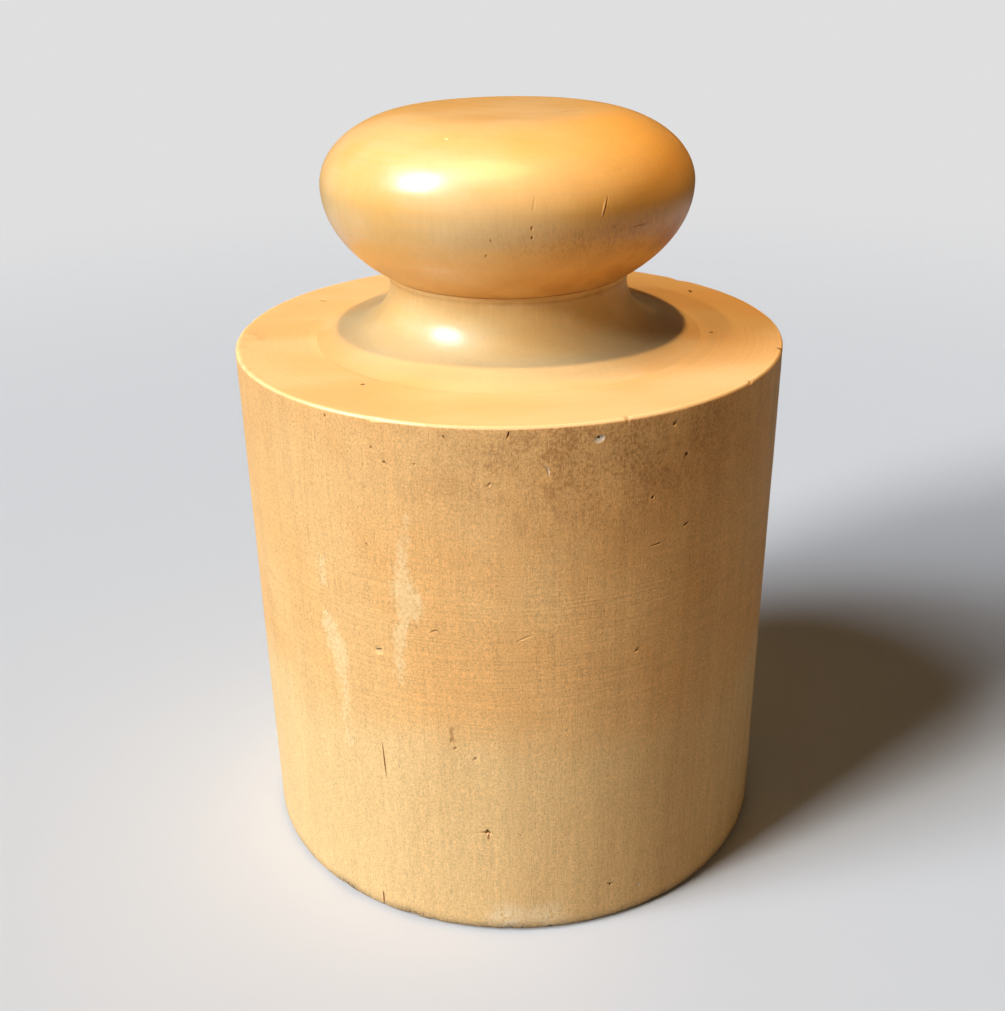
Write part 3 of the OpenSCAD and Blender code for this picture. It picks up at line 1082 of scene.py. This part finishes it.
# Direction towards each lamp, its strength, its spread in degrees, its colour, and its part: one that
# lights the wood doesn't show in the gloss, and one that shines only shows there
LAMPS = {
    "window_high": ((-0.60, -0.21, 0.77), 1.0, 19.0, WINDOW, "lights"),
    "window_low": ((-0.72, -0.27, 0.64), 1.0, 19.0, WINDOW, "lights"),
    "window_front": ((-0.745, -0.49, 0.45), 2.6, 15.0, (0.96, 1.01, 1.12), "lights"),
    "window_shine_high": ((-0.62, -0.20, 0.76), 2.2, 22.0, WINDOW_SHINE, "shines"),
    "window_shine_low": ((-0.71, -0.30, 0.64), 2.2, 22.0, WINDOW_SHINE, "shines"),
    "overhead_left": ((-0.283, -0.114, 0.953), 0.55, 2.5, OVERHEAD, "lights"),
    "overhead_middle": ((-0.017, -0.212, 0.977), 2.45, 2.5, OVERHEAD, "lights"),
    "overhead_glow": ((-0.15, -0.163, 0.975), 2.0, 34.0, (1.0, 0.80, 0.45), "shines"),
    "front_fill": ((-0.22, -0.97, 0.08), 0.34, 60.0, (1.0, 0.74, 0.46), "lights"),
    "back_fill": ((0.06, 0.99, 0.0), 1.0, 24.0, (1.0, 0.86, 0.68), "lights"),
    "right_fill": ((0.80, 0.58, 0.0), 0.38, 24.0, (1.0, 0.78, 0.54), "lights"),
}


def make_floor():
    bm = bmesh.new()
    bmesh.ops.create_circle(bm, cap_ends=True, segments=96, radius=FLOOR_RADIUS)
    mesh = bpy.data.meshes.new("floor")
    bm.to_mesh(mesh)
    bm.free()
    floor = bpy.data.objects.new("floor", mesh)
    floor.location.z = -FLOOR_DROP
    bpy.context.scene.collection.objects.link(floor)
    material = bpy.data.materials.new("pale_floor")
    b = empty_bench(material)
    x, y, _ = b.split(b.node("ShaderNodeTexCoord", None, None, output="Object"))
    far = b.smooth((x * x + y * y) ** 0.5, *FLOOR_FADE)

    # It looks pale, and throws little light back at the wood
    rays = b.sockets(b.node("ShaderNodeLightPath"))
    shown = rays["Is Camera Ray"].most(rays["Is Glossy Ray"]).most(rays["Is Transmission Ray"])
    dull = b.node("ShaderNodeBsdfDiffuse", None, {"Color": rgb(0.24, 0.22, 0.20)})
    pale = b.node("ShaderNodeBsdfDiffuse", None, {"Color": rgb(0.77, 0.735, 0.660)})
    near = b.node("ShaderNodeMixShader", None, {0: shown, 1: dull, 2: pale})
    clear = b.node("ShaderNodeBsdfTransparent")
    mixed = b.node("ShaderNodeMixShader", None, {0: far, 1: near, 2: clear})
    b.node("ShaderNodeOutputMaterial", None, {0: mixed})
    mesh.materials.append(material)


def make_lamp(name, direction, strength, spread, colour, part):
    lamp = bpy.data.lights.new(name, "SUN")
    lamp.energy = strength
    lamp.angle = math.radians(spread)
    lamp.color = colour
    holder = bpy.data.objects.new(name, lamp)
    holder.rotation_mode = "QUATERNION"
    holder.rotation_quaternion = Vector(direction).to_track_quat("Z", "Y")
    holder.visible_glossy = part == "shines"
    holder.visible_diffuse = part == "lights"
    bpy.context.scene.collection.objects.link(holder)


def make_world():
    """Pale to the eye, and a faint warm fill to the wood."""
    world = bpy.data.worlds.new("studio")
    bpy.context.scene.world = world
    b = empty_bench(world)
    rays = b.sockets(b.node("ShaderNodeLightPath"))
    shown = rays["Is Camera Ray"].most(rays["Is Transmission Ray"])
    fill = b.node("ShaderNodeBackground", None, {"Color": rgb(1.0, 0.76, 0.52), "Strength": 0.04})
    pale = b.node("ShaderNodeBackground", None, {"Color": rgb(0.74, 0.74, 0.745), "Strength": 1.0})
    mixed = b.node("ShaderNodeMixShader", None, {0: shown, 1: fill, 2: pale})
    b.node("ShaderNodeOutputWorld", None, {0: mixed})


def make_camera():
    """The camera of the photograph, solved from the block's two round edges."""
    lens = bpy.data.cameras.new("camera")
    lens.lens = 43.99
    lens.sensor_width = 36.0
    lens.clip_start = 0.01
    camera = bpy.data.objects.new("camera", lens)
    place = Matrix.Translation((-2.28 * MM, -311.23 * MM, 233.73 * MM))
    tilt = Matrix.Rotation(math.radians(64.947), 4, "X")
    roll = Matrix.Rotation(math.radians(-0.8177), 4, "Z")
    camera.matrix_world = place @ tilt @ roll
    bpy.context.scene.collection.objects.link(camera)
    bpy.context.scene.camera = camera


make_camera()
make_floor()
make_world()
for name, settings in LAMPS.items():
    make_lamp(name, *settings)
bpy.context.scene.view_settings.view_transform = "Standard"

# The two warm lamps overhead light the wood only, so that the floor stays plain
turned_wood = bpy.data.collections.new("turned_wood")
for name in ("overhead_left", "overhead_middle"):
    bpy.data.objects[name].light_linking.receiver_collection = turned_wood

# How each piece is made, its body, its node, its finish, and from how many degrees its edges stay crisp
for make, body, node, finish, crisp in (
    (make_block, "block", "block", "block_wood", 50.0),
    (make_neck, "neck", "neck_collar", "neck_wood", 50.0),
    (make_knob, "handle", "knob", "knob_wood", 50.0),
    (make_screw, "handle", "handle_screw", "screw_wood", 28.0),
):
    piece = make()
    piece.data.set_sharp_from_angle(angle=math.radians(crisp))
    turned_wood.objects.link(piece)
    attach(piece, body)
    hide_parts(node)
